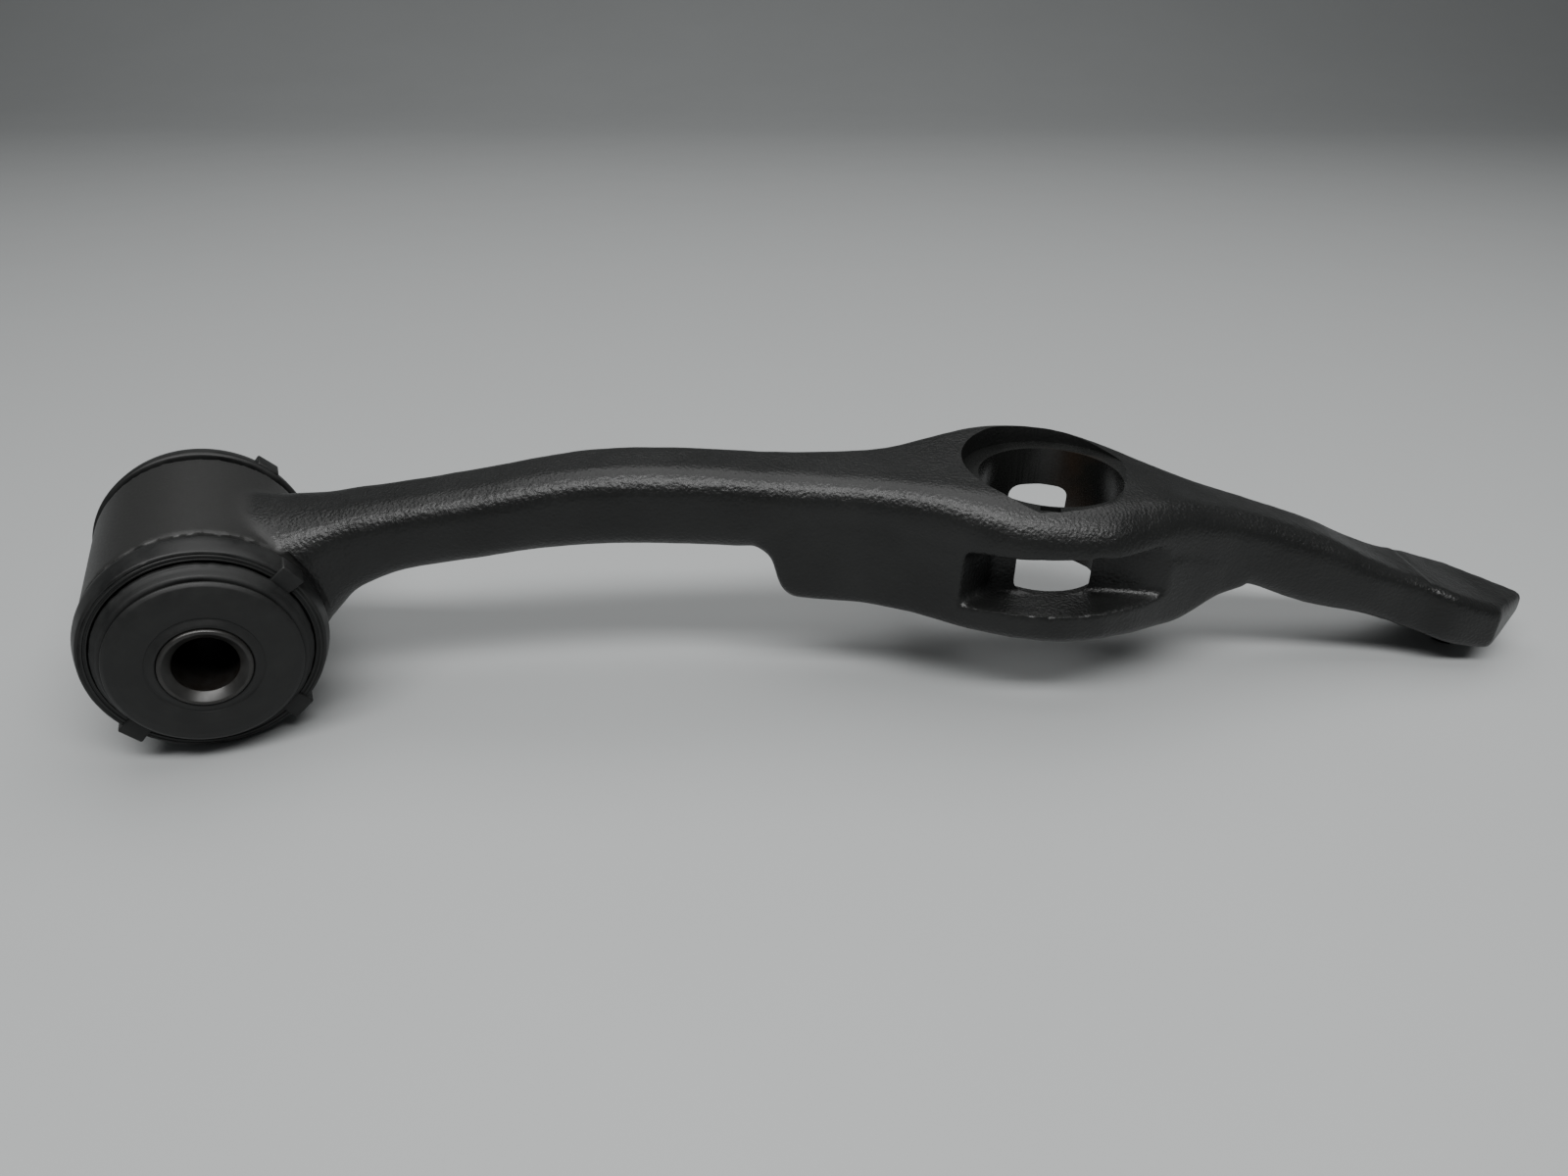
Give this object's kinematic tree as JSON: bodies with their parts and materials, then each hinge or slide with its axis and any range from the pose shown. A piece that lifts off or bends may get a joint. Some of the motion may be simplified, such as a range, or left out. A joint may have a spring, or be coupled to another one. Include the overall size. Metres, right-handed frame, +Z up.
{
  "type": "suspension control arm",
  "caption": "Forged suspension control arm with a rubber pivot bush in a round eye, a bored boss between two lands and a flat pointed tongue.",
  "frame": {"origin": "centre of the pivot bush: on the inner sleeve's axis, half way along it", "axes": "+X along the arm from the bush to the tongue, +Z up along the stem bore, -Y the front side. The bush axis is level and turned 19.5 degrees in plan from -Y towards +X"},
  "size_m": [0.4476, 0.0964, 0.0703],
  "materials": {
    "painted_forging": "semi-gloss black over forging grain",
    "plated_shell": "thin plated sheet",
    "bush_rubber": "moulded, matt",
    "ring_rubber": "moulded, satin",
    "coated_disc": "black coated, matt",
    "sleeve_steel": "turned, darkened"
  },
  "bodies": {
    "arm": {"arm_forging": "painted_forging", "front_shell": "plated_shell", "rear_shell": "plated_shell", "front_rubber": "bush_rubber", "rear_rubber": "bush_rubber", "front_lug_ring": "ring_rubber", "rear_lug_ring": "ring_rubber"},
    "bush_inner": {"inner_sleeve": "sleeve_steel", "front_end_disc": "coated_disc", "rear_end_disc": "coated_disc"}
  },
  "joints": [
    {"name": "bush_twist", "type": "hinge", "parent": "arm", "child": "bush_inner", "pos_m": [0, 0, 0], "axis": [0.3338, -0.9426, 0], "range_deg": [-25, 25], "stiffness_Nm_per_rad": 60}
  ]
}
